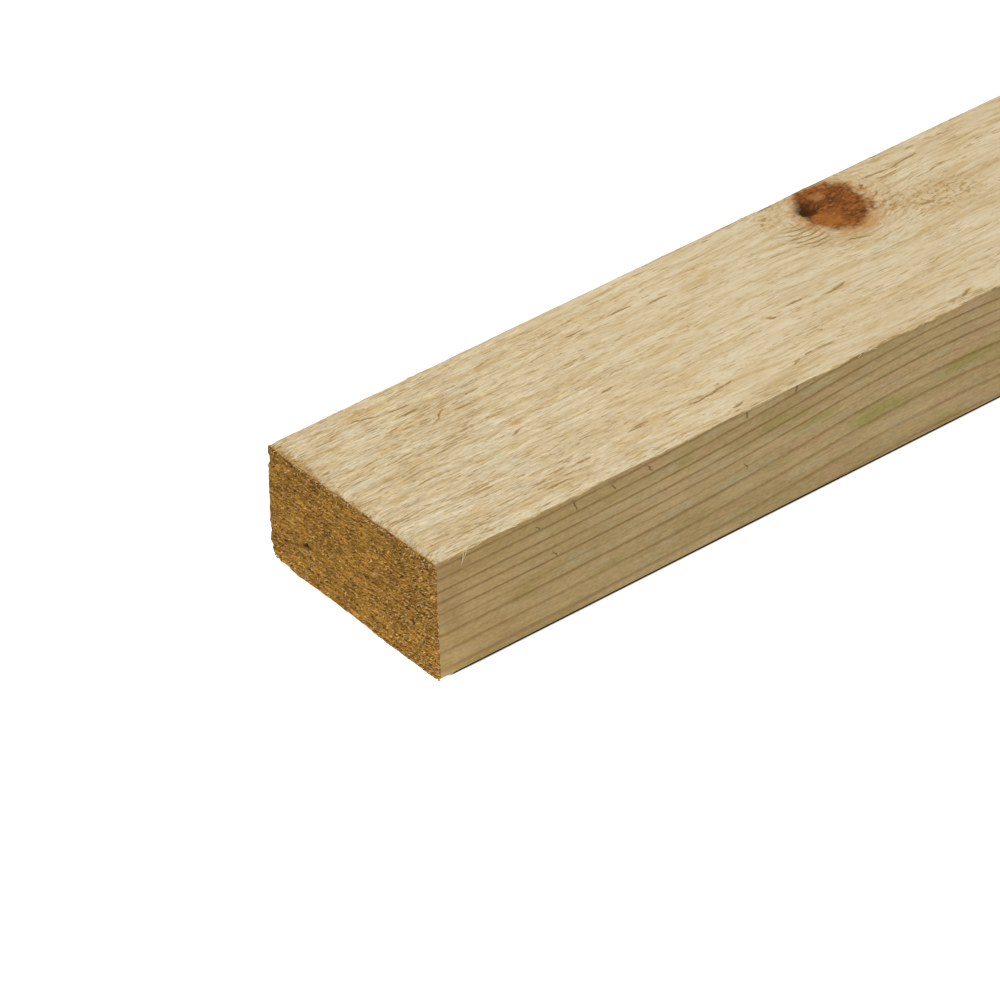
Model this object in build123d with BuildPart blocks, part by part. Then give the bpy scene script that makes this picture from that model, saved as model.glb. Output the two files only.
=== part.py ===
from build123d import *
import os

# Wooden batten: one length of treated softwood, sold as 50 by 25 mm. A planed plank
# with rounded arrises was sawn down its length, so the batten has planed sides and
# underside, two rounded arrises below, a rough sawn top and two sharp arrises above.
#
# Frame: millimetres. The origin is at the middle of the underside. +X runs along the
# length, away from the saw-cut end in view, +Y crosses the width to the far side, and
# +Z points up to the sawn face.

# Size of the stock
length = 1800.0
width = 47.0
thickness = 25.0

# Arrises, seen in the section
near_arris_radius = 1.6
far_arris_radius = 3.5
sawn_arris_break = 0.4

os.makedirs("parts", exist_ok=True)

with BuildPart() as batten:
    # The section stands across the length: its own X is the width, its Y the height
    with BuildSketch(Plane.YZ) as section:
        Rectangle(width, thickness, align=(Align.CENTER, Align.MIN))

        # The planer rounded the two arrises below, the far one more than the near one
        near_corner = section.vertices().group_by(Axis.Y)[0].sort_by(Axis.X)[0]
        fillet(near_corner, near_arris_radius)
        far_corner = section.vertices().group_by(Axis.Y)[0].sort_by(Axis.X)[-1]
        fillet(far_corner, far_arris_radius)

        # The saw left the two arrises above sharp, and handling only broke them
        sawn_corners = section.vertices().group_by(Axis.Y)[-1]
        chamfer(sawn_corners, sawn_arris_break)

    # Both ends are square saw cuts, half a length each way from the middle
    extrude(amount=length / 2, both=True)

batten.part.label = "batten"
export_step(batten.part, "parts/batten.step")
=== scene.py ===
import bpy
import math
import numpy as np
from collections import namedtuple
from mathutils import Matrix, Vector, noise


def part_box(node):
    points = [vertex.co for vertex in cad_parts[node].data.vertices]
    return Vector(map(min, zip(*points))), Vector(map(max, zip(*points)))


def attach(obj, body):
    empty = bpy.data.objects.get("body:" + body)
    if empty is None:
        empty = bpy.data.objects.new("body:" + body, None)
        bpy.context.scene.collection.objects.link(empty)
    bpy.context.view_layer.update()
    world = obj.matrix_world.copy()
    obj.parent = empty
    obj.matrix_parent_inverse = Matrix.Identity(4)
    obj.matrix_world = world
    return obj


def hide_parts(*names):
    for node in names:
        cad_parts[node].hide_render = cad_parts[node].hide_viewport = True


# The looks of one softwood batten: rough sawn above, planed on its sides and underside,
# sawn across at both ends, with a red knot at the far arris of the end in view.
#
# The surface is worked out in millimetres from the near lower corner of the sawn end in
# view: u along the length, v across the width from the near side, w up from the
# underside. to_frame() puts such points into the frame, in metres.

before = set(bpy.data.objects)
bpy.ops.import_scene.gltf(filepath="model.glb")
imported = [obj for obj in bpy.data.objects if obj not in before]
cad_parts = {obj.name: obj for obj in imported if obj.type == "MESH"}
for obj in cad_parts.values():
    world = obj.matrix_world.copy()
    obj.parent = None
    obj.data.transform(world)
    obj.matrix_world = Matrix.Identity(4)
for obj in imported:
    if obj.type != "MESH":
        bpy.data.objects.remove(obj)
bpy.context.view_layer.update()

MM = 0.001
low_corner, high_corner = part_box("batten")
length, width, thickness = [(high_corner[k] - low_corner[k]) / MM for k in range(3)]

# Arrises, as in the section of the solid
near_arris_radius = 1.6
far_arris_radius = 3.5
sawn_arris_break = 0.4

# The surface mesh: faces round the section, and how far apart its rings stand
faces_across = 106
faces_up = 50
first_stations = (0.0, 0.4, 0.9, 1.5, 2.2)
fine_step = 1.0
fine_reach = 150.0
coarse_step = 24.0
step_growth = 1.08
end_step = 0.5
end_stretch = 40.0
sharp_angle = 60

# How deep the saw and the plane left their faces, and how deep the two pits are, in mm
sawn_depth = 0.14
tear_depth = 0.22
planed_depth = 0.04
cut_depth = 0.15
pit_depth = 1.2
end_pit_depth = 0.6

# The end in view is a little out of square: how far its far side leans, how much of its
# lower edge broke away (over the far half, and more at the corner), and the saw's bites
end_lean = 0.60
broken_edge = 0.6
broken_corner = 0.45
bite_depth = 0.8

# Torn fibres: how far one may reach past the solid's faces, how many lie on the sawn face
# and along each sharp arris, in the stretch in view and in the rest, and how many hang over
# the end in view, in the tuft on its near side and on the end itself
sliver_reach = 0.35
face_fibres = (8500, 5000)
near_arris_fibres = (50, 600)
far_arris_fibres = (40, 600)
pale_edge_fibres = 90
gold_edge_fibres = 420
tuft_fibres = 9
crumb_fibres = 1800

# The tree: where its pith ran, how wide each ring grew from the pith outwards, and how
# dark the line is that ends the ring
pith_v = -3.6
pith_w = 0.0
rings = (
    (2.70, 0.60), (1.80, 0.55), (2.90, 0.65), (3.20, 0.80), (2.05, 0.35), (2.15, 1.00),
    (2.35, 0.90), (2.20, 1.00), (2.50, 0.85), (2.35, 0.90), (2.90, 0.60), (3.70, 0.50),
    (3.70, 0.55), (3.80, 0.70), (2.10, 0.50), (2.60, 0.80), (1.80, 0.60), (2.40, 0.80),
    (1.90, 0.60), (2.40, 0.70), (2.40, 0.60), (2.20, 0.70), (2.60, 0.60), (2.30, 0.60),
    (2.50, 0.50), (2.40, 0.60),
)

# Bends of the pith: centre and spread along the length, and how far it moves, in mm
pith_rises = (
    (113.0, 29.5, 3.9), (185.0, 26.0, -2.0), (430.0, 60.0, 3.0), (780.0, 45.0, -3.0),
    (1130.0, 55.0, 4.0), (1500.0, 50.0, 3.5),
)
pith_swings = ((600.0, 150.0, -9.0), (980.0, 120.0, 3.0), (1400.0, 160.0, -7.0))

# Knots: the middle of each on its face, the branch's slope up from level across the
# section in degrees, its lean along the length, and its radius
Knot = namedtuple("Knot", "middle slope lean radius")
knots = (
    Knot((122.0, 38.9, 25.0), 60.0, 0.10, 7.2),
    Knot((408.0, 13.0, 25.0), 62.0, 0.25, 4.6),
    Knot((441.0, 47.0, 12.0), 14.0, 0.20, 5.6),
    Knot((772.0, 29.0, 25.0), 48.0, 0.30, 6.4),
    Knot((1122.0, 43.0, 25.0), 40.0, 0.15, 4.8),
    Knot((1149.0, 0.0, 15.0), 160.0, 0.20, 4.4),
    Knot((1496.0, 21.0, 25.0), 55.0, 0.20, 7.6),
    Knot((1688.0, 30.0, 0.0), -50.0, 0.15, 5.2),
)
first_knot = knots[0]
knot_taper_depth = 34.0

# The open pit at the first knot's edge, and the pit in the sawn end
knot_pit = (117.7, 41.8)
knot_pit_size = (2.5, 3.4)
end_pit = (36.9, 8.4)

# The chip in the far arris beside the first knot: its middle, half length and depth
far_chip = (113.4, 3.0)
far_chip_depth = 1.0

# Marks on the sawn face: middle along and across, half length, half width, turn in degrees
face_slits = (
    (17.0, 41.7, 3.4, 0.26, -17.0), (23.6, 40.3, 3.6, 0.30, -7.0), (24.0, 38.2, 3.4, 0.28, 0.0),
    (33.2, 33.5, 2.8, 0.24, -2.0), (36.5, 36.2, 2.0, 0.22, 0.0), (27.5, 33.9, 2.6, 0.20, 35.0),
    (34.8, 21.4, 1.5, 0.26, 20.0), (51.6, 8.7, 2.6, 0.44, 3.0), (67.5, 8.1, 6.6, 0.26, 7.0),
    (68.8, 2.4, 2.0, 0.34, 12.0), (30.5, 4.6, 3.6, 0.26, 0.0), (37.8, 7.1, 1.8, 0.28, 0.0),
    (54.6, 21.0, 1.8, 0.26, 10.0), (61.0, 38.1, 3.2, 0.24, 0.0), (71.5, 38.4, 3.6, 0.24, 0.0),
    (78.5, 36.7, 2.6, 0.24, 0.0), (90.4, 19.0, 1.2, 0.40, -25.0), (97.0, 20.0, 3.0, 0.26, 0.0),
    (105.2, 18.6, 3.6, 0.34, 6.0), (84.8, 5.6, 1.3, 0.34, 20.0), (88.2, 6.4, 1.0, 0.30, 0.0),
    (134.9, 41.9, 3.6, 0.24, -6.0), (141.8, 42.0, 4.2, 0.22, 5.0), (121.3, 2.3, 1.8, 0.36, 20.0),
    (118.5, 28.2, 3.0, 0.26, -22.0), (135.6, 28.6, 1.8, 0.44, -15.0),
)
golden_patches = (
    (18.5, 43.4, 4.6, 1.5, -10.0), (21.5, 35.3, 5.0, 1.0, 0.0), (28.6, 34.6, 2.4, 0.9, 40.0),
    (16.4, 25.4, 2.4, 1.0, 0.0), (54.0, 8.9, 4.0, 1.0, 0.0),
)
orange_pins = ((36.3, 23.5, 1.7, 0.55, -4.0),)
grey_spots = (
    (28.5, 19.4, 4.4, 2.4, 45.0), (33.7, 26.6, 1.5, 1.1, 0.0), (5.0, 9.6, 2.4, 1.3, 0.0),
    (122.0, 23.0, 7.0, 2.6, 10.0), (8.0, 33.5, 5.0, 2.2, 0.0),
)

# Round the first knot: its dark and light parts, and the torn wood beside it
knot_orange = ((119.2, 35.8, 3.6, 3.4, 0.0),)
knot_dark = ((125.0, 38.6, 2.2, 3.8, 15.0), (119.4, 44.8, 1.4, 0.9, 0.0))
knot_light = ((121.6, 43.0, 1.6, 1.6, 0.0),)
# The open pit, which is painted dark as shade in the hole
knot_hole = ((*knot_pit, *knot_pit_size, -28.0),)
knot_blush = ((122.8, 31.2, 5.2, 2.6, 8.0), (115.0, 38.8, 1.6, 1.2, 0.0))
knot_ripples = ((112.2, 34.4, 3.6, 5.2, 12.0),)
ripple_centre = (113.2, 43.0, 25.0)
ripple_spacing = 1.3
knot_flecks = (
    (140.0, 29.0, 10.0, 6.4, -12.0), (109.6, 43.0, 3.2, 2.6, 0.0), (131.0, 34.0, 3.6, 6.0, 0.0),
)
knot_dark_flecks = (
    (130.4, 40.4, 1.2, 1.2, 0.0), (131.4, 37.6, 0.9, 1.0, 0.0), (128.0, 42.6, 1.6, 0.9, -25.0),
    (127.6, 34.4, 0.8, 2.2, -20.0),
)

# Marks on the sawn end: middle across and up, half length, half width, turn in degrees
# The score and the pit are painted dark, as shade in the groove and in the hole
end_kerf = ((37.5, 23.9, 9.0, 0.26, 4.4),)
end_hole = ((*end_pit, 1.0, 0.5, -20.0),)
end_torn = (
    (37.7, 7.2, 1.4, 0.5, -25.0), (17.4, 13.2, 1.6, 0.5, -30.0), (29.6, 10.4, 0.9, 0.4, -30.0),
)
comb_angle = 33.0
saw_line_spacing = 0.9

# Marks on the near side: middle along and up, half length, half width, turn in degrees
side_nicks = (
    (22.2, 21.9, 0.7, 0.14, 52.0), (30.3, 22.8, 1.4, 0.15, 66.0), (38.8, 22.7, 0.9, 0.14, 52.0),
    (46.8, 22.8, 1.1, 0.15, 52.0), (25.6, 15.0, 1.1, 0.11, 55.0), (68.6, 24.0, 1.0, 0.20, 75.0),
    (80.0, 24.3, 1.0, 0.22, 100.0), (68.3, 13.2, 1.0, 0.11, 70.0),
)
green_stains = (
    (99.0, 11.0, 9.0, 2.4, -3.0), (121.0, 12.6, 10.0, 1.8, -2.0), (84.0, 15.6, 7.0, 1.1, -5.0),
)
dark_smudges = ((4.0, 22.6, 5.0, 2.2, 0.0), (3.0, 15.0, 3.0, 6.0, 0.0))

# The wood's shine, and how deep the fine relief of each face's material is, in mm
wood_shine = 0.06
sawn_bump = 0.35
planed_bump = 0.10
end_bump = 0.5
fibre_bump = 0.03

# The floor: its half size in metres, its colour and glow, from where to where a painted
# shadow darkens it under the batten's sides and ends, and how far from the ends it glows
# most, painted light that washes out the batten's shadow there
floor_half = 40.0
floor_white = (0.88, 0.88, 0.88, 1.0)
floor_glow = 0.36
painted_shadow_side_fade = (-0.8, -0.4)
painted_shadow_end_fade = (-4.0, -1.5)
painted_end_glow = (3.0, 9.0)

# Light: the sky's strength, and the lamp's strength, breadth in degrees and direction
white = (1.0, 1.0, 1.0, 1.0)
sky_strength = 0.45
lamp_strength = 2.4
lamp_breadth = 30
towards_lamp = (-0.14, -0.34, 1.0)

# The photograph's camera: the point it looks at and how far off it stands in mm, the turn
# of its view about the vertical, its look down and its tilt in degrees, and its lens in mm
camera_aim = (19.8, 7.3, 25.0)
camera_distance = 1147.4
camera_azimuth = 52.48
camera_elevation = 35.47
camera_roll = -2.2
camera_lens = 243.6

random_seed = 11


def srgb(red, green, blue):
    """A colour read as 0 to 255, in the linear numbers that the shaders take."""
    def linear(value):
        share = value / 255
        return share / 12.92 if share <= 0.04045 else ((share + 0.055) / 1.055) ** 2.4
    return (linear(red), linear(green), linear(blue), 1.0)


def to_frame(points):
    """Points in mm from the near lower corner of the end in view, put into the frame."""
    return np.asarray(points) * MM + np.array(low_corner)


# Helpers for node trees

class Value:
    """What a node gives, to reckon with: each sign between two values adds a math node."""

    def __init__(self, shader, socket):
        self.shader = shader
        self.socket = socket
        self.node = socket.node

    def __add__(self, other):
        return self.shader.math("ADD", self, other)

    def __sub__(self, other):
        return self.shader.math("SUBTRACT", self, other)

    def __mul__(self, other):
        return self.shader.math("MULTIPLY", self, other)

    def __truediv__(self, other):
        return self.shader.math("DIVIDE", self, other)

    def window(self, low, high, result_low=0.0, result_high=1.0):
        """A smooth step: result_low at low and below, result_high at high and above."""
        inputs = dict(enumerate((self, low, high, result_low, result_high)))
        return self.shader.made("ShaderNodeMapRange", inputs, interpolation_type="SMOOTHSTEP")

    def swell(self, centre, spread, height):
        """A smooth hump of this height round centre."""
        offset = (self - centre) / spread
        return self.shader.math("EXPONENT", offset * offset * -0.5) * height


class Shader:
    """One node tree, with calls that add a node and give back its value."""

    def __init__(self, tree):
        self.tree = tree

    def feed(self, socket, value):
        """Links the socket to a value, or sets its number or colour."""
        if isinstance(value, Value):
            self.tree.links.new(value.socket, socket)
        else:
            socket.default_value = value

    def made(self, kind, inputs, output=0, **settings):
        """Adds a node with these settings, feeds its inputs, and gives back one output."""
        node = self.tree.nodes.new(kind)
        for name, setting in settings.items():
            setattr(node, name, setting)
        for name, value in inputs.items():
            self.feed(node.inputs[name], value)
        return Value(self, node.outputs[output])

    def math(self, operation, *values):
        return self.made("ShaderNodeMath", dict(enumerate(values)), operation=operation)

    def vector(self, operation, *values):
        output = "Value" if operation in ("DOT_PRODUCT", "LENGTH") else "Vector"
        return self.made("ShaderNodeVectorMath", dict(enumerate(values)), output, operation=operation)

    def scaled(self, vector, factor):
        inputs = {0: vector, "Scale": factor}
        return self.made("ShaderNodeVectorMath", inputs, "Vector", operation="SCALE")

    def parts(self, vector):
        split = self.made("ShaderNodeSeparateXYZ", {0: vector})
        return [Value(self, output) for output in split.node.outputs]

    def joined(self, *parts):
        return self.made("ShaderNodeCombineXYZ", dict(enumerate(parts)))

    def noise(self, point, size, shift=0.0, detail=2.0, rough=0.5, output=0):
        """Noise from 0 to 1 whose features are about this size, in mm along u, v and w."""
        moved = self.vector("ADD", self.vector("DIVIDE", point, size), (shift, shift * 0.7, shift * 1.3))
        inputs = {"Vector": moved, "Scale": 1.0, "Detail": detail, "Roughness": rough}
        return self.made("ShaderNodeTexNoise", inputs, output)

    def wander(self, point, size, reach, shift):
        """The point moved about by up to reach mm, in a random way."""
        colour = self.noise(point, size, shift, detail=1.0, output="Color")
        centred = self.vector("SUBTRACT", colour, (0.5, 0.5, 0.5))
        return self.vector("ADD", point, self.vector("MULTIPLY", centred, reach))

    def turned(self, point, degrees):
        """The point turned about the batten's length."""
        inputs = {"Vector": point, "Angle": math.radians(degrees)}
        return self.made("ShaderNodeVectorRotate", inputs, rotation_type="X_AXIS")

    def blend(self, share, base, over):
        """base with this share of over mixed in."""
        inputs = {0: share, 6: base, 7: over}
        return self.made("ShaderNodeMix", inputs, 2, data_type="RGBA", blend_type="MIX", clamp_factor=True)

    def blend_number(self, share, base, over):
        """base with this share of over mixed in, for numbers."""
        inputs = {0: share, 2: base, 3: over}
        return self.made("ShaderNodeMix", inputs, data_type="FLOAT", clamp_factor=True)

    def marks(self, point, face, shapes, inner, outer):
        """1 inside any of these turned ellipses, fading out from inner to outer."""
        through = {"end": 0, "side": 1, "top": 2}[face]
        far = 1000.0

        def placed(first, second, third):
            """Two numbers along the face and one through it, in the order u, v, w."""
            numbers = [first, second]
            numbers.insert(through, third)
            return numbers

        found = 0.0
        for first, second, half_length, half_width, turn in shapes:
            inputs = {
                "Vector": point,
                "Location": placed(first, second, 0.0),
                "Rotation": placed(0.0, 0.0, math.radians(turn)),
                "Scale": placed(half_length, half_width, far),
            }
            place = self.made("ShaderNodeMapping", inputs, vector_type="TEXTURE")
            near = self.vector("LENGTH", place).window(inner, outer, 1.0, 0.0)
            found = self.math("MAXIMUM", near, found)
        return found


class Layers:
    """A colour built up in layers, from a first blend of two colours read as 0 to 255."""

    def __init__(self, shader, share, first, second):
        self.shader = shader
        self.colour = shader.blend(share, srgb(*first), srgb(*second))

    def over(self, share, colour):
        """Mixes in this share of a colour, which is read as 0 to 255 or made by nodes."""
        over = srgb(*colour) if isinstance(colour, tuple) else colour
        self.colour = self.shader.blend(share, self.colour, over)

    def grade(self, brightness):
        """Multiplies the colour by a number that varies over the surface."""
        self.colour = self.shader.scaled(self.colour, brightness)


# The wood inside the batten, the same for every face

def knot_axes(knot):
    """The branch's direction, and the direction in which it pushes the grain aside."""
    slope = math.radians(knot.slope)
    along = Vector((knot.lean, math.cos(slope), math.sin(slope))).normalized()
    aside = along.cross(Vector((1.0, 0.0, 0.0))).normalized()
    return along[:], aside[:]


def ring_count(shader, radius):
    """How many rings lie between the pith and this radius, and how dark this ring ends."""
    reach = sum(ring_width for ring_width, _ in rings)
    share = shader.made("ShaderNodeFloatCurve", {"Value": radius / reach})
    mapping = share.node.mapping
    grown = 0.0
    for number, (ring_width, _) in enumerate(rings[:-1], start=1):
        grown += ring_width
        mapping.curves[0].points.new(grown / reach, number / len(rings))
    for point in mapping.curves[0].points:
        point.handle_type = "VECTOR"
    mapping.update()

    strength = shader.made("ShaderNodeValToRGB", {0: share})
    ramp = strength.node.color_ramp
    ramp.interpolation = "CONSTANT"
    ramp.elements.remove(ramp.elements[1])
    for number, (_, darkness) in enumerate(rings):
        step = ramp.elements[0] if number == 0 else ramp.elements.new(number / len(rings))
        step.color = (darkness, darkness, darkness, 1.0)
    return share * float(len(rings)), strength


def wood_group():
    """A group from a place in the wood, in mm, to its grain, rings and knots."""
    tree = bpy.data.node_groups.new("wood", "ShaderNodeTree")
    tree.interface.new_socket("Point", in_out="INPUT", socket_type="NodeSocketVector")
    shader = Shader(tree)
    point = Value(shader, tree.nodes.new("NodeGroupInput").outputs["Point"])
    ragged = shader.noise(point, (2.2, 2.2, 2.2), detail=4.0, rough=0.65)
    grain = point
    knot_mask, knot_depth, knot_halo = 0.0, 9.0, 0.0
    for knot in knots:
        along, aside = knot_axes(knot)
        offset = shader.vector("SUBTRACT", point, knot.middle)
        outward = shader.vector("DOT_PRODUCT", offset, along)
        across = shader.vector("SUBTRACT", offset, shader.scaled(along, outward))
        # A branch grew thicker outwards, so its radius shrinks with depth
        radius = outward.window(-knot_taper_depth, 0.0, 0.1 * knot.radius, knot.radius)
        share = shader.vector("LENGTH", across) / radius
        squared = shader.math("MAXIMUM", share * share, 1.0)
        push = shader.vector("DOT_PRODUCT", offset, aside) / squared
        grain = shader.vector("SUBTRACT", grain, shader.scaled(aside, push))
        rim = share + ragged * 0.7 - 0.35
        knot_mask = shader.math("MAXIMUM", rim.window(0.76, 1.12, 1.0, 0.0), knot_mask)
        knot_depth = shader.math("MINIMUM", share, knot_depth)
        knot_halo = shader.math("MAXIMUM", share.window(0.9, 2.3, 1.0, 0.0), knot_halo)

    u = shader.parts(point)[0]
    _, v, w = shader.parts(grain)
    for swing in pith_swings:
        v = v - u.swell(*swing)
    for rise in pith_rises:
        w = w - u.swell(*rise)
    from_pith = shader.vector("LENGTH", shader.joined(0.0, v - pith_v, w - pith_w))
    wave = shader.noise(point, (70.0, 22.0, 22.0), detail=3.0)
    count, strength = ring_count(shader, from_pith + (wave - 0.5) * 0.5)

    results = {
        "Grain": shader.wander(grain, (11.0, 5.0, 5.0), (0.0, 1.6, 1.6), 31.0),
        "Phase": shader.math("FRACT", count),
        "Strength": strength,
        "Knot": knot_mask,
        "Depth": knot_depth,
        "Halo": knot_halo,
    }
    for name in results:
        kind = "NodeSocketVector" if name == "Grain" else "NodeSocketFloat"
        tree.interface.new_socket(name, in_out="OUTPUT", socket_type=kind)
    outlet = tree.nodes.new("NodeGroupOutput")
    for name, value in results.items():
        shader.feed(outlet.inputs[name], value)
    return tree


def new_material(name, wood_tree):
    """A material, its shader, the place on the batten in mm, and the wood at that place."""
    material = bpy.data.materials.new(name)
    material.use_nodes = True
    shader = Shader(material.node_tree)
    place = shader.made("ShaderNodeTexCoord", {}, "Object")
    point = shader.scaled(shader.vector("SUBTRACT", place, tuple(low_corner)), 1.0 / MM)
    group = shader.made("ShaderNodeGroup", {"Point": point}, node_tree=wood_tree)
    wood = {output.name: Value(shader, output) for output in group.node.outputs}
    return material, shader, point, wood


def finish_material(shader, colour, roughness, relief, relief_depth):
    """Feeds the Principled shader's colour, roughness and bump."""
    inputs = shader.tree.nodes["Principled BSDF"].inputs
    bump = {"Strength": 1.0, "Distance": relief_depth * MM, "Height": relief}
    shader.feed(inputs["Base Color"], colour)
    shader.feed(inputs["Roughness"], roughness)
    shader.feed(inputs["Specular IOR Level"], wood_shine)
    shader.feed(inputs["Normal"], shader.made("ShaderNodeBump", bump, "Normal"))


def late_wood(wood, rise, full, fade):
    """The dark edge of each ring: it comes on from rise to full, and ends sharply."""
    return wood["Phase"].window(rise, full) * wood["Phase"].window(fade, 1.0, 1.0, 0.0) * wood["Strength"]


def knot_colour(shader, point, wood):
    """Layers of brown knot wood: blotched, with dark specks and a few rings of its own."""
    blotches = shader.noise(point, (3.0, 2.4, 2.4), 3.2, detail=4.0, rough=0.65)
    knot = Layers(shader, blotches.window(0.40, 0.60), (141, 84, 38), (100, 56, 25))
    grown = shader.math("FRACT", wood["Depth"] * 5.0 + blotches * 4.0)
    knot.over(grown.window(0.5, 1.0, 0.0, 0.3), (84, 47, 22))
    knot.over(wood["Depth"].window(0.6, 0.95, 0.0, 0.4), (116, 72, 32))
    specks = shader.noise(point, (0.9, 0.7, 0.7), 7.0)
    knot.over(specks.window(0.54, 0.66, 0.0, 0.6), (70, 41, 18))
    glow = shader.noise(point, (1.3, 0.8, 0.8), 19.0)
    knot.over(glow.window(0.56, 0.68, 0.0, 0.5), (178, 122, 62))
    return knot


def first_knot_parts(shader, loose, knot, specks):
    """Lays the first knot's own orange side, light patch and dark side, and its open pit, painted dark as
    shade in the hole.
    """
    knot.over(shader.marks(loose, "top", knot_orange, 0.3, 1.2) * 0.5, (168, 106, 48))
    knot.over(shader.marks(loose, "top", knot_light, 0.3, 1.2) * 0.5, (170, 122, 76))
    dark = shader.marks(loose, "top", knot_dark, 0.3, 1.2) * specks.window(0.42, 0.60)
    knot.over(dark * 0.7, (70, 40, 20))
    # The open pit: painted shade in the hole
    knot.over(shader.marks(loose, "top", knot_hole, 0.2, 1.25) * 0.92, (52, 29, 14))


def knot_surround(shader, point, loose, wood, face, tone):
    """Lays torn, stained wood round each knot, the marks beside the first, and the knots."""
    crumbs = shader.noise(loose, (1.4, 0.9, 0.9), 1.0, rough=0.65)
    torn = wood["Halo"] * crumbs.window(0.42, 0.60)
    face.over(torn * 0.55, (172, 142, 92))
    crowding = shader.math("SINE", wood["Depth"] * 40.0 + tone * 12.0)
    broken = shader.noise(loose, (2.6, 2.6, 2.6), 51.0).window(0.44, 0.56)
    crowded = wood["Halo"] * crowding.window(0.2, 1.0) * broken
    face.over(crowded * 0.45, (140, 110, 64))
    from_centre = shader.vector("LENGTH", shader.vector("SUBTRACT", loose, ripple_centre))
    waves = shader.math("SINE", from_centre * (2.0 * math.pi / ripple_spacing) + tone * 9.0)
    ripples = shader.marks(loose, "top", knot_ripples, 0.6, 1.2) * waves.window(0.1, 0.9)
    face.over(ripples * 0.75, (134, 104, 58))
    fleck_area = shader.marks(loose, "top", knot_flecks, 0.4, 1.2)
    face.over(fleck_area * 0.2, (184, 150, 94))
    face.over(fleck_area * crumbs.window(0.50, 0.62) * 0.7, (148, 116, 66))
    dark_flecks = shader.marks(loose, "top", knot_dark_flecks, 0.4, 1.2) * crumbs.window(0.46, 0.54)
    face.over(dark_flecks * 0.85, (104, 68, 34))
    rim_stain = wood["Depth"].window(1.0, 1.35, 0.5, 0.0) * broken.window(0.0, 1.0, 0.3, 1.0)
    blush = shader.marks(loose, "top", knot_blush, 0.2, 1.3) * 0.65
    face.over(shader.math("MAXIMUM", rim_stain, blush), (176, 120, 62))
    knot = knot_colour(shader, point, wood)
    first_knot_parts(shader, loose, knot, crumbs)
    face.over(wood["Knot"], knot.colour)


def sawn_material(wood_tree):
    """The rough sawn top: pale and woolly, with torn fibres along the grain."""
    material, shader, point, wood = new_material("sawn_face", wood_tree)
    grain = wood["Grain"]
    loose = shader.wander(point, (1.4, 0.8, 0.8), (1.2, 0.5, 0.5), 41.0)
    tone = shader.noise(grain, (24.0, 5.0, 5.0), detail=4.0, rough=0.6)
    face = Layers(shader, tone.window(0.36, 0.64), (211, 194, 161), (200, 180, 144))
    grey = shader.noise(grain, (8.0, 4.0, 4.0), 5.0).window(0.54, 0.70, 0.0, 0.35)
    spots = shader.marks(loose, "top", grey_spots, 0.4, 1.2) * 0.6
    face.over(shader.math("MAXIMUM", grey, spots), (205, 193, 162))
    warm = shader.noise(grain, (12.0, 3.0, 3.0), 9.0)
    face.over(warm.window(0.54, 0.70, 0.0, 0.4), (200, 173, 122))
    face.over(shader.marks(loose, "top", golden_patches, 0.3, 1.3) * 0.5, (198, 162, 104))
    face.over(shader.marks(loose, "top", orange_pins, 0.3, 1.3) * 0.8, (190, 134, 68))
    late = late_wood(wood, 0.45, 0.9, 0.97)
    face.over(late * 0.28, (174, 147, 98))

    # Streaks along the grain, then the short wool that the saw left, with dashes of painted shade among it
    streaks = shader.noise(grain, (12.0, 0.75, 0.75), 2.0, detail=3.0, rough=0.6)
    face.over(streaks.window(0.50, 0.66, 0.0, 0.6), (180, 152, 101))
    face.over(streaks.window(0.48, 0.34, 0.0, 0.35), (220, 205, 172))
    gold = shader.noise(loose, (3.0, 0.55, 0.55), 19.0, rough=0.6)
    face.over(gold.window(0.54, 0.68, 0.0, 0.45), (190, 160, 106))
    u, v, _ = shader.parts(point)
    calm = u.window(25.0, 90.0, 0.0, 0.85)
    face.grade(u.window(30.0, 125.0, 1.0, 0.925))
    strands = shader.noise(loose, (4.4, 0.32, 0.32), 13.0, rough=0.6)
    face.grade(shader.blend_number(calm, strands.window(0.34, 0.66, 0.91, 1.07), 1.0))
    wool = shader.noise(loose, (2.2, 0.30, 0.30), 12.0, rough=0.6)
    face.grade(shader.blend_number(calm, wool.window(0.36, 0.64, 0.90, 1.08), 1.0))
    # Dark dashes along the grain, gathered along ring lines and more of them near the end: painted shade
    # under torn fibres
    clusters = shader.noise(grain, (16.0, 3.4, 3.4), 6.0)
    shade_dashes = shader.noise(grain, (3.8, 0.30, 0.30), 4.0, rough=0.6)
    shade_dashes = shade_dashes + clusters * 0.3 + late * 0.06 + u.window(15.0, 60.0, 0.05, 0.0)
    face.over(shade_dashes.window(0.75, 0.87) * 0.75, (148, 117, 68))
    wisps = shader.noise(grain, (2.8, 0.24, 0.24), 8.0, detail=1.0)
    face.over(wisps.window(0.62, 0.74) * 0.35, (230, 216, 184))
    near_slits = shader.marks(loose, "top", face_slits, 0.2, 2.2)
    face.over(near_slits * 0.5, (186, 154, 100))
    ragged = shader.noise(loose, (2.0, 0.26, 0.26), 33.0)
    slits = (near_slits + ragged * 0.9).window(1.18, 1.42)
    face.over(slits * 0.65, (136, 103, 56))
    knot_surround(shader, point, loose, wood, face, tone)

    # The end's dark wood shows along the edge where the saw tore the wool away
    frayed = shader.noise(loose, (1.2, 1.0, 1.0), 61.0, detail=3.0, rough=0.7)
    fray_edge = u + (frayed - 0.5) * 5.0 + v.window(30.0, 38.0, 0.0, -0.7)
    frayed_tone = shader.scaled(srgb(170, 130, 68)[:3], wool.window(0.34, 0.66, 0.55, 1.35))
    face.over(fray_edge.window(0.1, 1.0, 0.8, 0.0), frayed_tone)

    relief = shader.blend_number(calm, (strands + wool) * 0.5, 0.5) - slits * 0.5
    finish_material(shader, face.colour, strands.window(0.3, 0.7, 0.95, 0.8), relief, sawn_bump)
    return material


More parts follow.
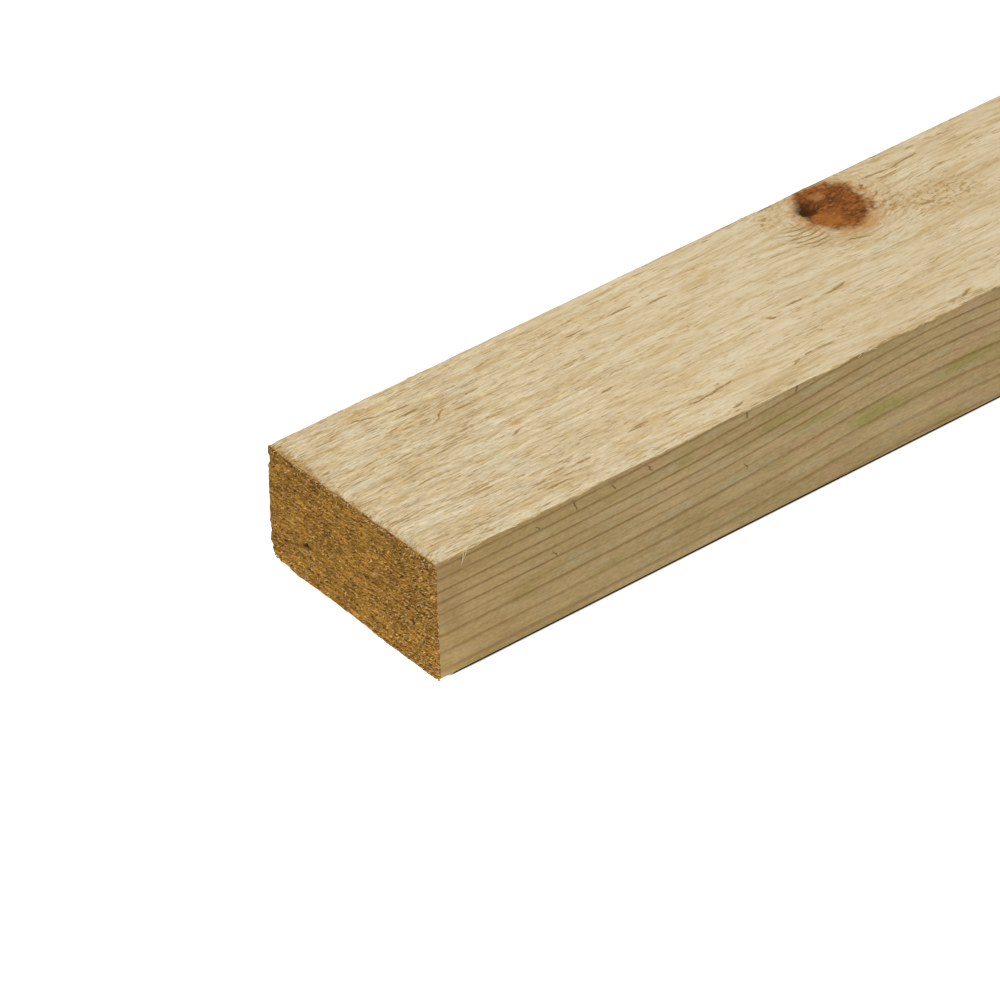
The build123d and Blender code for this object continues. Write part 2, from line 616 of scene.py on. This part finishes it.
def planed_material(wood_tree):
    """The planed sides and underside: smooth, olive-brown, with thin dark ring lines."""
    material, shader, point, wood = new_material("planed_face", wood_tree)
    grain = wood["Grain"]
    loose = shader.wander(point, (1.4, 0.7, 0.7), (1.2, 0.5, 0.5), 43.0)
    broad = shader.noise(grain, (40.0, 6.0, 6.0), 3.0, detail=4.0)
    face = Layers(shader, broad.window(0.36, 0.64), (158, 137, 97), (145, 125, 84))
    pink = shader.noise(grain, (16.0, 4.0, 4.0), 11.0, detail=3.0)
    face.over(pink.window(0.5, 0.68, 0.0, 0.5), (157, 128, 94))
    green = shader.noise(grain, (13.0, 4.0, 4.0), 14.6, detail=3.0).window(0.56, 0.72, 0.0, 0.45)
    stains = shader.marks(loose, "side", green_stains, 0.3, 1.2) * 0.65
    face.over(shader.math("MAXIMUM", green, stains), (126, 118, 62))
    grey = shader.noise(loose, (9.0, 2.6, 2.6), 37.0, detail=3.0)
    face.over(grey.window(0.52, 0.68, 0.0, 0.45), (152, 142, 110))
    face.over(shader.marks(loose, "side", dark_smudges, 0.2, 1.2) * 0.4, (104, 84, 56))
    u, _, w = shader.parts(point)
    face.over(u.window(0.0, 50.0, 0.45, 0.0), (151, 122, 74))
    face.over(shader.math("POWER", wood["Phase"], 2.0) * 0.15, (138, 110, 68))
    line_fade = shader.noise(grain, (22.0, 3.0, 3.0), 17.0, detail=3.0).window(0.3, 0.6, 0.6, 1.0)
    face.over(late_wood(wood, 0.72, 0.91, 0.985) * line_fade * 0.75, (108, 82, 45))

    streaks = shader.noise(grain, (9.0, 0.34, 0.34), 2.0, detail=3.0, rough=0.6)
    face.grade(streaks.window(0.34, 0.66, 0.93, 1.07))
    mottle = shader.noise(loose, (1.0, 0.46, 0.46), 6.0, detail=3.0, rough=0.65)
    face.grade(mottle.window(0.34, 0.66, 0.90, 1.10))
    nicks = shader.marks(loose, "side", side_nicks, 0.6, 1.2)
    face.over(nicks * 0.75, (84, 66, 38))

    # The sawn face's wool hangs over the two sharp arrises, with a painted shadow in the gap below it
    drape = shader.noise(point, (5.0, 5.0, 0.8), 23.0, detail=4.0, rough=0.6)
    height = w + (drape - 0.5) * 1.8
    shadow_below_wool_low = height.window(thickness - 1.0, thickness - 0.65)
    shadow_below_wool_high = height.window(thickness - 0.6, thickness - 0.35, 1.0, 0.0)
    # A dark band under the hanging wool: painted shadow
    face.over(shadow_below_wool_low * shadow_below_wool_high * 0.3, (98, 80, 48))
    hung = shader.scaled(srgb(190, 170, 124)[:3], mottle.window(0.36, 0.64, 0.8, 1.15))
    face.over(height.window(thickness - 0.35, thickness - 0.05), hung)
    face.over(wood["Knot"], knot_colour(shader, point, wood).colour)

    finish_material(shader, face.colour, streaks.window(0.3, 0.7, 0.78, 0.66), mottle - nicks, planed_bump)
    return material


def cut_end_material(wood_tree):
    """The saw-cut ends: golden brown, with the saw's fine scores across the width."""
    material, shader, point, wood = new_material("cut_end", wood_tree)
    loose = shader.wander(point, (1.2, 1.4, 1.2), (0.4, 0.5, 0.5), 47.0)
    bent = shader.wander(point, (2.0, 5.0, 3.0), (0.0, 0.0, 1.2), 53.0)
    combed = shader.turned(loose, comb_angle)
    broad = shader.noise(point, (9.0, 7.0, 4.0), 4.0, detail=3.0)
    face = Layers(shader, broad.window(0.36, 0.64), (174, 127, 48), (150, 108, 39))
    tints = shader.noise(point, (3.0, 2.2, 1.2), 27.0, detail=3.0)
    face.over(tints.window(0.54, 0.7, 0.0, 0.3), (172, 116, 54))
    face.over(tints.window(0.46, 0.3, 0.0, 0.4), (154, 128, 56))
    face.over(late_wood(wood, 0.3, 0.9, 0.96) * 0.2, (112, 70, 22))
    bands = shader.noise(bent, (3.0, 9.0, 0.8), 9.0, rough=0.6)
    face.grade(bands.window(0.36, 0.64, 0.84, 1.16))
    scores = shader.noise(bent, (3.0, 3.0, 0.28), 5.0, rough=0.6)
    face.grade(scores.window(0.38, 0.62, 0.66, 1.31))
    _, v, w = shader.parts(point)
    passes = shader.parts(bent)[2] / saw_line_spacing
    line = shader.math("SINE", passes * (2.0 * math.pi))
    patchy = shader.noise(point, (3.0, 5.0, 0.9), 81.0).window(0.42, 0.6)
    saw_line = line.window(0.1, 0.95) * patchy
    face.over(saw_line * 0.6, (100, 62, 14))
    face.over((w + tints * 3.0).window(thickness - 2.0, thickness + 0.8) * 0.35, (98, 62, 16))

    # Torn pores and bright fibre ends, more of them towards the near side
    busy = v.window(2.0, 18.0, 0.035, 0.0)
    pores = shader.noise(combed, (1.0, 1.15, 0.30), 8.0, detail=1.5, rough=0.6)
    pore = (pores + busy).window(0.56, 0.67)
    face.over(pore * 0.9, (78, 44, 10))
    glints = shader.noise(combed, (1.0, 1.15, 0.28), 15.0, detail=1.5, rough=0.6)
    glint = (glints + busy).window(0.59, 0.70)
    face.over(glint * 0.95, (228, 190, 126))
    face.over(wood["Knot"] * 0.8, knot_colour(shader, point, wood).colour)

    # A long score below the upper edge and the pit, both painted dark as shade in the groove and the hole,
    # the pit's torn fibre, and the top's wool
    kerf_shade = shader.marks(bent, "end", end_kerf, 0.5, 1.2) * 0.65
    pit_shade = shader.marks(loose, "end", end_hole, 0.3, 1.3) * 0.8
    face.over(shader.math("MAXIMUM", kerf_shade, pit_shade), (50, 31, 14))
    face.over(shader.marks(loose, "end", end_torn, 0.4, 1.2) * 0.4, (214, 176, 118))
    drape = shader.noise(loose, (1.0, 2.4, 0.7), 71.0, detail=4.0, rough=0.7)
    height = w + (drape - 0.5) * 3.0
    face.over(height.window(thickness - 0.6, thickness - 0.2, 0.0, 0.6), (196, 158, 98))

    relief = scores + saw_line * -0.2 + pore * -0.3 + glint * 0.2
    finish_material(shader, face.colour, scores.window(0.3, 0.7, 0.95, 0.8), relief, end_bump)
    return material


def fibre_material(name, wood_tree, pale, dark):
    """Loose torn fibres between these two colours."""
    material, shader, point, wood = new_material(name, wood_tree)
    tint = shader.noise(point, (3.0, 0.8, 0.8), 21.0)
    fibre = Layers(shader, tint.window(0.35, 0.65), pale, dark)
    fibre.over(wood["Knot"] * 0.8, (150, 92, 54))
    shine = shader.noise(point, (0.6, 0.1, 0.1), detail=1.0)
    finish_material(shader, fibre.colour, shine.window(0.3, 0.7, 0.9, 0.7), shine, fibre_bump)
    return material


# The surface of the batten

def noise_at(points, size, shift=0.0):
    """Smooth noise, about -1 to 1, at each point, with features of this size in mm."""
    places = points / np.array(size) + shift
    return np.array([noise.noise(place) for place in places.tolist()])


def smooth_step(value, low, high):
    share = np.clip((value - low) / (high - low), 0.0, 1.0)
    return share * share * (3.0 - 2.0 * share)


def wool_height(points):
    """Where the sawn face is woolly, as smooth noise."""
    return noise_at(points, (26.0, 6.0, 6.0), 7.7)


def from_first_knot(points):
    """How far each point of the sawn face is from the first knot's middle, in mm."""
    return np.hypot(points[:, 0] - first_knot.middle[0], points[:, 1] - first_knot.middle[1])


def pit_share(points):
    """1 in the open pit beside the knot and in the pit of the sawn end, 0 elsewhere."""
    u, v, w = points.T
    knot_distance = np.hypot((u - knot_pit[0]) / knot_pit_size[0], (v - knot_pit[1]) / knot_pit_size[1])
    in_knot = (1.0 - smooth_step(knot_distance, 0.4, 1.0)) * (w > thickness - 3.0)
    end_distance = np.hypot((v - end_pit[0]) / 1.2, (w - end_pit[1]) / 0.8)
    in_end = (1.0 - smooth_step(end_distance, 0.3, 1.0)) * (u < 1.0)
    return np.maximum(in_knot, in_end)


def sawn_relief(points, fineness):
    """Height of the sawn face over the solid's flat one, in mm, nearly all below it."""
    u, v, _ = points.T
    height = 0.08 * noise_at(points, (45.0, 14.0, 14.0), 1.1) - sawn_depth
    # The tears are shallow beside the near arris, which the photograph shows nearly straight
    torn = noise_at(points, (6.0, 1.1, 1.1), 3.3)
    tears = smooth_step(torn + 0.5 * wool_height(points), 0.2, 0.8) * tear_depth * smooth_step(v, 0.0, 3.0)
    ridges = 0.05 * noise_at(points, (4.0, 1.3, 1.3), 5.2)
    tufts = 0.04 * noise_at(points, (2.2, 0.9, 0.9), 8.8)
    height += fineness * (ridges + tufts - tears)
    # The first knot stands up a little, with lumps round it
    knot_distance = from_first_knot(points) / first_knot.radius
    lumps = 0.16 * noise_at(points, (1.6, 1.3, 1.3), 9.4)
    height += (1.0 - smooth_step(knot_distance, 0.9, 2.0)) * lumps
    height += (1.0 - smooth_step(knot_distance, 0.5, 1.1)) * 0.12
    # The saw that cut the end tore its upper edge down, most of all near the near side
    torn_edge = 1.0 - smooth_step(u, 0.2, 2.4)
    worn = 0.35 + 0.5 * noise_at(points, (2.0, 2.6, 2.0), 2.9) + 0.25 * (v < 20.0)
    height -= torn_edge * np.clip(worn, 0.05, 0.9)
    # The far arris is chipped beside the knot
    chipped = 1.0 - smooth_step(np.abs(u - far_chip[0]), 0.4 * far_chip[1], far_chip[1])
    height -= chipped * smooth_step(v, width - 1.0, width - 0.2) * far_chip_depth
    return height - pit_depth * pit_share(points)


def planed_relief(points, fineness):
    """Height of the planed faces over the solid's flat ones, in mm."""
    waves = 0.03 * noise_at(points, (14.0, 9.0, 9.0), 2.4)
    # The arris under the sawn face is frayed
    fray = smooth_step(points[:, 2], thickness - 1.2, thickness - 0.4)
    fray = fray * 0.05 * noise_at(points, (1.8, 1.5, 0.9), 6.1)
    return (waves + fray) * fineness - planed_depth


def end_relief(points):
    """How far the saw cut into the end, in mm: scores across the width, and pores."""
    scores = 0.10 * noise_at(points, (4.0, 5.0, 0.8), 4.1)
    crumbs = 0.14 * noise_at(points, (1.5, 1.0, 0.9), 6.3)
    return cut_depth + scores + crumbs + end_pit_depth * pit_share(points)


def out_of_square(points):
    """The end in view as it really is: its far side leans, and its lower far edge broke out."""
    u, v, w = points.T
    moved = points.copy()
    lean = (1.0 - 1.5 * w / thickness) * (v / width) * (1.0 - smooth_step(u, 5.0, 90.0))
    moved[:, 1] += end_lean * lean
    broken = broken_edge * smooth_step(v, 15.0, 23.0) + broken_corner * smooth_step(v, 38.0, 44.0)
    moved[:, 2] += broken * (1.0 - smooth_step(u, 0.5, 6.0)) * (1.0 - smooth_step(w, 0.0, 7.0))
    # Bites where the saw's teeth left the far side
    bites = np.clip(noise_at(points, (1.2, 4.0, 0.9), 12.7) - 0.1, 0.0, 1.0)
    leaving = smooth_step(v, width - 0.9, width - 0.1) * (1.0 - smooth_step(u, 0.6, 2.0))
    moved[:, 1] -= bite_depth * bites * leaving
    return moved


def section_side(first, second, segments):
    """Outline points from the middle of one arris to the middle of the next."""
    def turned(arris, start, end):
        angles = np.radians(np.linspace(start, end, arris["steps"] + 1))
        v = arris["centre"][0] + arris["radius"] * np.cos(angles)
        w = arris["centre"][1] + arris["radius"] * np.sin(angles)
        return np.stack([v, w], axis=1)

    leaving = turned(first, first["middle"], first["middle"] + 45)
    arriving = turned(second, second["middle"] - 45, second["middle"])
    steps = segments - first["steps"] - second["steps"]
    straight = np.linspace(leaving[-1], arriving[0], steps + 1)
    return np.concatenate([leaving[:-1], straight, arriving[1:]])


def section_sides():
    """The section's underside, far side, top and near side, each as a row of points."""
    near, far, sharp = near_arris_radius, far_arris_radius, sawn_arris_break
    arrises = (
        {"centre": (near, near), "radius": near, "middle": 225, "steps": 3},
        {"centre": (width - far, far), "radius": far, "middle": 315, "steps": 6},
        {"centre": (width - sharp, thickness - sharp), "radius": sharp, "middle": 45, "steps": 1},
        {"centre": (sharp, thickness - sharp), "radius": sharp, "middle": 135, "steps": 1},
    )
    counts = (faces_across, faces_up, faces_across, faces_up)
    return [section_side(arrises[k], arrises[(k + 1) % 4], counts[k]) for k in range(4)]


def ring_stations():
    """Where the mesh's rings stand along the length: close where the photograph looks."""
    stations = list(first_stations)
    step = fine_step
    while stations[-1] + step < length - end_stretch:
        stations.append(stations[-1] + step)
        if stations[-1] > fine_reach:
            step = min(step * step_growth, coarse_step)
    far_part = length - np.geomspace(end_stretch, end_step, 20)
    return np.array([s for s in stations if s < far_part[0] - 2.0] + list(far_part) + [length])


def end_grid(sides):
    """The points of an end, spread between its four sides."""
    under, far, top, near = sides[0], sides[1], sides[2][::-1], sides[3][::-1]
    across = np.linspace(0.0, 1.0, faces_across + 1)[:, None, None]
    up = np.linspace(0.0, 1.0, faces_up + 1)[None, :, None]
    lengthwise = (1 - up) * under[:, None] + up * top[:, None]
    upright = (1 - across) * near[None] + across * far[None]
    corners = ((1 - across) * ((1 - up) * under[0] + up * top[0])
               + across * ((1 - up) * under[-1] + up * top[-1]))
    return lengthwise + upright - corners


def each_unit(rows):
    """Each row scaled to a length of 1, as a direction."""
    return rows / np.linalg.norm(rows, axis=1)[:, None]


def batten_points(sides, stations):
    """The mesh's points in mm, ring by ring, and each loop point's outward direction."""
    loop = np.concatenate([side[:-1] for side in sides])
    ahead = np.roll(loop, -1, axis=0) - loop
    behind = loop - np.roll(loop, 1, axis=0)
    tangent = each_unit(ahead) + each_unit(behind)
    outward = each_unit(np.stack([tangent[:, 1], -tangent[:, 0]], axis=1))
    points = np.zeros((len(stations), len(loop), 3))
    points[:, :, 0] = stations[:, None]
    points[:, :, 1:] = loop[None, :, :]
    directions = np.zeros_like(points)
    directions[:, :, 1:] = outward[None, :, :]
    return points, directions


def relieved(points, directions, stations):
    """The long faces' points moved outwards or inwards by their relief."""
    fineness = 1.0 - smooth_step(np.gradient(stations), 1.1, 3.5)
    fineness = np.repeat(fineness, points.shape[1])
    flat = points.reshape(-1, 3)
    outward = directions.reshape(-1, 3)
    height = planed_relief(flat, fineness)
    sawn = smooth_step(outward[:, 2], 0.3, 0.95)
    is_sawn = sawn > 0
    sawn_height = sawn_relief(flat[is_sawn], fineness[is_sawn])
    height[is_sawn] += sawn[is_sawn] * (sawn_height - height[is_sawn])
    return flat + outward * height[:, None]


def band_place(u, around):
    """A point's place on the baked picture: the length is laid in rows, the end in view first."""
    reach = np.array([0.0, fine_reach + 30.0, 720.0, 1260.0, length])
    row_low = np.array([0.60, 0.40, 0.20, 0.0])
    row_high = np.array([1.0, 0.60, 0.40, 0.20])
    row_width = np.array([0.78, 1.0, 1.0, 1.0])
    row = np.clip(np.searchsorted(reach, u.mean(axis=1), side="right") - 1, 0, 3)[:, None]
    share = (u - reach[row]) / (reach[row + 1] - reach[row])
    margin = 0.004
    across = margin + share * (row_width[row] - 2 * margin)
    upward = row_low[row] + margin + around * (row_high[row] - row_low[row] - 2 * margin)
    return np.stack([across, upward], axis=-1)


def end_place(flat, number):
    """A point's place on the baked picture for an end, beside the first row."""
    across = 0.79 + 0.20 * flat[..., 0] / width
    upward = 0.62 + 0.19 * number + 0.17 * flat[..., 1] / thickness
    return np.stack([across, upward], axis=-1)


def columns(count, *parts):
    """Rows of numbers side by side: each part is a column, or one number for every row."""
    return np.stack([np.broadcast_to(part, count) for part in parts], axis=1)


def new_object(name, data):
    """An object with this data, in the scene."""
    made = bpy.data.objects.new(name, data)
    bpy.context.scene.collection.objects.link(made)
    return made


def new_mesh(name, points, faces, materials):
    """A mesh of these points and faces, with these materials in its slots."""
    mesh = bpy.data.meshes.new(name)
    mesh.from_pydata(points, [], faces)
    for material in materials:
        mesh.materials.append(material)
    return mesh


def make_batten(materials):
    """The whole batten as one closed mesh."""
    sides = section_sides()
    stations = ring_stations()
    points, directions = batten_points(sides, stations)
    ring_total, count, _ = points.shape
    vertices = relieved(points, directions, stations)

    # The long faces, ring by ring
    ring, turn = np.meshgrid(np.arange(ring_total - 1), np.arange(count), indexing="ij")
    after = (turn + 1) % count
    faces = np.stack([ring * count + turn, (ring + 1) * count + turn,
                      (ring + 1) * count + after, ring * count + after], axis=-1).reshape(-1, 4)
    top_first, top_last = faces_across + faces_up, 2 * faces_across + faces_up
    slots = np.where((turn >= top_first) & (turn < top_last), 0, 1).reshape(-1)
    corner_u = np.stack([stations[ring + k] for k in (0, 1, 1, 0)], axis=-1)
    corner_turn = np.stack([turn + k for k in (0, 0, 1, 1)], axis=-1) / count
    places = band_place(corner_u.reshape(-1, 4), corner_turn.reshape(-1, 4))

    # The two ends, on the first and the last ring
    grid = end_grid(sides)
    a, b = np.meshgrid(np.arange(faces_across + 1), np.arange(faces_up + 1), indexing="ij")
    edge = np.select(
        [b == 0, a == faces_across, b == faces_up],
        [a, faces_across + b, 2 * faces_across + faces_up - a],
        default=2 * faces_across + 2 * faces_up - b,
    ) % count
    is_inner = (a > 0) & (a < faces_across) & (b > 0) & (b < faces_up)
    inner = grid[is_inner]
    flats = np.stack([grid[:-1, :-1], grid[:-1, 1:], grid[1:, 1:], grid[1:, :-1]], axis=2).reshape(-1, 4, 2)
    for number, (end_ring, direction) in enumerate(((0, 1), (ring_total - 1, -1))):
        index = end_ring * count + edge
        index[is_inner] = len(vertices) + np.arange(len(inner))
        added = columns(len(inner), stations[end_ring], *inner.T)
        vertices = np.concatenate([vertices, added])
        quads = np.stack([index[:-1, :-1], index[:-1, 1:], index[1:, 1:], index[1:, :-1]], axis=-1)
        quads = quads.reshape(-1, 4)[:, ::direction]
        faces = np.concatenate([faces, quads])
        slots = np.concatenate([slots, np.full(len(quads), 2)])
        places = np.concatenate([places, end_place(flats[:, ::direction], number)])

    for end_ring, inward in ((0, 1.0), (ring_total - 1, -1.0)):
        on_end = np.abs(vertices[:, 0] - stations[end_ring]) < 1e-6
        vertices[on_end, 0] += inward * end_relief(vertices[on_end])
    in_view = vertices[:, 0] < 100.0
    vertices[in_view] = out_of_square(vertices[in_view])

    mesh = new_mesh("batten_wood", to_frame(vertices).tolist(), faces.tolist(), materials)
    mesh.polygons.foreach_set("material_index", slots)
    mesh.uv_layers.new(name="OFBake").uv.foreach_set("vector", places.reshape(-1).astype(np.float32))
    mesh.shade_smooth()
    mesh.set_sharp_from_angle(angle=math.radians(sharp_angle))
    batten = new_object("batten_wood", mesh)
    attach(batten, "root")
    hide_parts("batten")


# Torn fibres, as thin closed slivers

def within_reach(slivers):
    """The slivers whose tips stay within a fibre's breadth or two of the solid."""
    starts, directions, bends, lengths, _ = slivers
    tips = starts + each_unit(directions) * lengths[:, None] + bends
    low = np.array([-sliver_reach, -sliver_reach, 0.1])
    high = np.array([length + sliver_reach, width + sliver_reach, thickness + sliver_reach])
    kept = np.all((tips > low) & (tips < high), axis=1)
    return [part[kept] for part in slivers]


def sliver_mesh(name, material, *sets):
    """One mesh of many slivers, each bent, with five stations and pointed towards its tip."""
    slivers = [np.concatenate(parts) for parts in zip(*sets)]
    starts, directions, bends, lengths, widths = within_reach(slivers)
    along = np.array([0.0, 0.25, 0.5, 0.78, 1.0])
    girth = np.array([0.6, 1.0, 0.9, 0.6, 0.12])
    corner_angles = np.radians([90.0, 210.0, 330.0])[None, None, :, None]
    directions = each_unit(directions)
    sideways = each_unit(np.cross(directions, np.array([0.0, 0.0, 1.0])))
    upward = np.cross(sideways, directions)
    middle = (starts[:, None, :] + directions[:, None, :] * (along * lengths[:, None])[:, :, None]
              + bends[:, None, :] * (along ** 2)[None, :, None])
    size = (0.5 * widths[:, None] * girth[None, :])[:, :, None, None]
    across = size * np.cos(corner_angles) * sideways[:, None, None, :]
    height = 0.7 * size * np.sin(corner_angles) * upward[:, None, None, :]
    vertices = (middle[:, :, None, :] + across + height).reshape(-1, 3)

    stations = len(along)
    template = [(0, 1, 2), tuple(3 * (stations - 1) + k for k in (2, 1, 0))]
    for station in range(stations - 1):
        for k in range(3):
            after = (k + 1) % 3
            low, high = 3 * station, 3 * (station + 1)
            template.append((low + k, high + k, high + after))
            template.append((low + k, high + after, low + after))
    first_corner = np.arange(len(starts))[:, None, None] * 3 * stations
    faces = (first_corner + np.array(template)[None, :, :]).reshape(-1, 3)

    mesh = new_mesh(name, to_frame(vertices).tolist(), faces.tolist(), [material])
    mesh.shade_smooth()
    piece = new_object(name, mesh)
    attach(piece, "root")


def either_way(count, chance):
    """Along the batten or against it, at random."""
    return np.where(chance.uniform(size=count) < 0.5, -1.0, 1.0)


def short_enough(lengths, starts, backward):
    """Fibre lengths that end no more than 0.3 mm past the batten's ends."""
    return np.minimum(lengths, np.where(backward > 0, length - starts[:, 0], starts[:, 0]) + 0.3)


def top_fibres(count, reach, chance):
    """Fibres torn up from the sawn face between two places along the length."""
    starts = columns(count, chance.uniform(*reach, count), chance.uniform(0.3, width - 0.3, count), thickness)
    woolly = wool_height(starts) + 0.35 * chance.normal(size=count)
    calm = 0.60 * smooth_step(starts[:, 0], 30.0, 100.0)
    starts = starts[(woolly > calm - 0.2) & (from_first_knot(starts) > 1.3 * first_knot.radius)]
    count = len(starts)
    starts[:, 2] += sawn_relief(starts, 1.0) - 0.02
    turn = np.radians(chance.normal(0.0, 9.0, count))
    backward = either_way(count, chance)
    directions = columns(count, np.cos(turn) * backward, np.sin(turn), 0.0)
    lengths = np.clip(chance.lognormal(0.35, 0.45, count), 0.5, 3.6)
    lengths = short_enough(lengths, starts, backward)
    sideways = chance.normal(0.0, 0.14, count) * lengths
    bends = columns(count, 0.0, sideways, np.clip(chance.exponential(0.06, count), 0.01, 0.25))
    return starts, directions, bends, lengths, chance.uniform(0.06, 0.12, count)


def edge_wool(count, chance):
    """Fibres that hang from the sawn face over the upper edge of the end in view."""
    u = chance.uniform(0.1, 0.9, count)
    starts = columns(count, u, chance.uniform(0.2, width - 0.2, count), thickness)
    starts[:, 2] += sawn_relief(starts, 1.0)
    directions = columns(count, -chance.uniform(0.4, 1.0, count), chance.normal(0.0, 0.5, count),
                         chance.normal(-0.1, 0.35, count))
    lengths = chance.uniform(0.3, 0.9, count)
    bends = columns(count, 0.0, chance.normal(0.0, 0.15, count), -chance.uniform(0.0, 0.4, count))
    return starts, directions, bends, lengths, chance.uniform(0.08, 0.18, count)


def arris_wool(count, reach, far_side, chance):
    """Fibres that lie along a sharp arris and hang a little over the planed side."""
    outward = 1.0 if far_side else -1.0
    arris_v = width if far_side else 0.0
    u = chance.uniform(*reach, count)
    v = arris_v - outward * chance.uniform(0.05, 0.5, count)
    starts = columns(count, u, v, thickness - chance.uniform(0.1, 0.35, count))
    backward = either_way(count, chance)
    directions = columns(count, backward, outward * chance.uniform(0.0, 0.2, count),
                         chance.normal(-0.05, 0.12, count))
    lengths = np.clip(chance.lognormal(0.2, 0.4, count), 0.5, 2.2)
    lengths = short_enough(lengths, starts, backward)
    bends = columns(count, 0.0, outward * chance.uniform(-0.1, 0.15, count), -chance.uniform(0.0, 0.4, count))
    return starts, directions, bends, lengths, chance.uniform(0.08, 0.18, count)


def hanging_tuft(count, chance):
    """The small tuft that hangs down the near side close to the end in view."""
    starts = columns(count, chance.normal(6.2, 0.5, count), 0.05, thickness - 0.2)
    directions = columns(count, chance.normal(0.1, 0.5, count), -chance.uniform(0.1, 0.4, count), -1.0)
    bends = columns(count, chance.normal(0.0, 0.4, count), 0.0, 0.0)
    lengths = chance.uniform(1.6, 3.0, count)
    return starts, directions, bends, lengths, chance.uniform(0.10, 0.18, count)


def end_crumbs(count, chance):
    """Short fibres combed over the end in view by the saw, with more along its edges."""
    v = chance.uniform(0.2, width - 0.2, count)
    w = chance.uniform(0.4, thickness - 0.6, count)
    v = np.where(chance.uniform(size=count) < 0.08, 0.2, v)
    w = np.where(chance.uniform(size=count) < 0.06, 0.5, w)
    starts = columns(count, 0.0, v, w)
    starts[:, 0] += end_relief(starts) - 0.02
    starts = out_of_square(starts)
    outward = -chance.uniform(0.1, 0.6, count)
    sideways = np.where((chance.uniform(size=count) < 0.6) & (v < width - 2.0), 1.0, -1.0)
    directions = columns(count, outward, sideways, chance.normal(0.0, 0.35, count))
    lengths = chance.uniform(0.25, 0.9, count)
    bends = columns(count, -chance.uniform(0.0, 0.12, count), 0.0, chance.normal(0.0, 0.12, count))
    return starts, directions, bends, lengths, chance.uniform(0.10, 0.24, count)


def make_fibres(wood_tree, chance):
    """All the loose fibres, as one piece for each stretch of the batten."""
    pale_fibre = fibre_material("pale_fibre", wood_tree, (224, 209, 174), (202, 182, 138))
    gold_fibre = fibre_material("gold_fibre", wood_tree, (222, 180, 114), (146, 102, 50))
    sliver_mesh(
        "torn_fibres_front", pale_fibre,
        top_fibres(face_fibres[0], (0.0, fine_reach), chance),
        edge_wool(pale_edge_fibres, chance),
        arris_wool(near_arris_fibres[0], (0.5, fine_reach), False, chance),
        arris_wool(far_arris_fibres[0], (0.5, fine_reach), True, chance),
        hanging_tuft(tuft_fibres, chance),
    )
    sliver_mesh(
        "torn_fibres_rest", pale_fibre,
        top_fibres(face_fibres[1], (fine_reach, length), chance),
        arris_wool(near_arris_fibres[1], (fine_reach, length), False, chance),
        arris_wool(far_arris_fibres[1], (fine_reach, length), True, chance),
    )
    sliver_mesh(
        "end_crumbs", gold_fibre,
        end_crumbs(crumb_fibres, chance),
        edge_wool(gold_edge_fibres, chance),
    )


# Stage, lights and camera

def floor_material():
    """White with a little glow, and a painted glow beside the ends that washes out the batten's shadow there;
    under the batten a painted shadow makes it dark.
    """
    material = bpy.data.materials.new("floor_white")
    material.use_nodes = True
    shader = Shader(material.node_tree)
    u, v, _ = shader.parts(shader.scaled(shader.made("ShaderNodeTexCoord", {}, "Object"), 1.0 / MM))
    past_end = shader.math("ABSOLUTE", u) - length / 2
    past_side = shader.math("ABSOLUTE", v) - width / 2
    # Where the painted shadow under the batten gives way to the white floor
    outside_painted_shadow = shader.math("MAXIMUM", past_side.window(*painted_shadow_side_fade), past_end.window(*painted_shadow_end_fade))
    # The glow is strongest beside the ends: painted light that washes out the batten's shadow there
    glow = shader.math("ABSOLUTE", past_end).window(*painted_end_glow, 1.0, floor_glow)
    inputs = material.node_tree.nodes["Principled BSDF"].inputs
    shader.feed(inputs["Roughness"], 0.9)
    shader.feed(inputs["Emission Color"], white)
    # Near black under the batten: a painted contact shadow
    shader.feed(inputs["Base Color"], shader.blend(outside_painted_shadow, srgb(20, 18, 14), floor_white))
    shader.feed(inputs["Emission Strength"], outside_painted_shadow * glow)
    return material


def make_stage():
    """A plain white floor, wide enough for every view."""
    corners = [(u * floor_half, v * floor_half, 0.0) for u, v in ((-1, -1), (1, -1), (1, 1), (-1, 1))]
    floor = new_object("floor", new_mesh("floor", corners, [(0, 1, 2, 3)], [floor_material()]))


def make_lights():
    """A white sky and one broad soft light from above, a little towards the near side."""
    world = bpy.data.worlds.new("sky")
    world.use_nodes = True
    background = world.node_tree.nodes["Background"]
    background.inputs["Color"].default_value = white
    background.inputs["Strength"].default_value = sky_strength
    bpy.context.scene.world = world

    key = bpy.data.lights.new("key", "SUN")
    key.energy = lamp_strength
    key.angle = math.radians(lamp_breadth)
    lamp = new_object("key", key)
    lamp.rotation_mode = "QUATERNION"
    lamp.rotation_quaternion = Vector(towards_lamp).to_track_quat("Z", "Y")


def make_camera():
    """The photograph's camera: far off, with a long lens, looking down at the sawn end."""
    azimuth, elevation, roll = map(math.radians, (camera_azimuth, camera_elevation, camera_roll))
    forward = Vector((math.cos(elevation) * math.cos(azimuth), math.cos(elevation) * math.sin(azimuth),
                      -math.sin(elevation)))
    level_right = forward.cross(Vector((0.0, 0.0, 1.0))).normalized()
    level_up = level_right.cross(forward)
    right = level_right * math.cos(roll) + level_up * math.sin(roll)
    up = right.cross(forward)

    data = bpy.data.cameras.new("camera")
    data.sensor_width = 36.0
    data.lens = camera_lens
    data.clip_start = 0.05
    data.clip_end = 100.0
    camera = new_object("camera", data)
    place = Vector(to_frame(camera_aim)) - forward * (camera_distance * MM)
    axes = Matrix((right, up, -forward)).transposed()
    camera.matrix_world = Matrix.Translation(place) @ axes.to_4x4()
    bpy.context.scene.camera = camera


def main():
    bpy.context.scene.view_settings.view_transform = "Standard"
    chance = np.random.default_rng(random_seed)
    wood_tree = wood_group()
    make_batten([sawn_material(wood_tree), planed_material(wood_tree), cut_end_material(wood_tree)])
    make_fibres(wood_tree, chance)
    make_stage()
    make_lights()
    make_camera()


main()
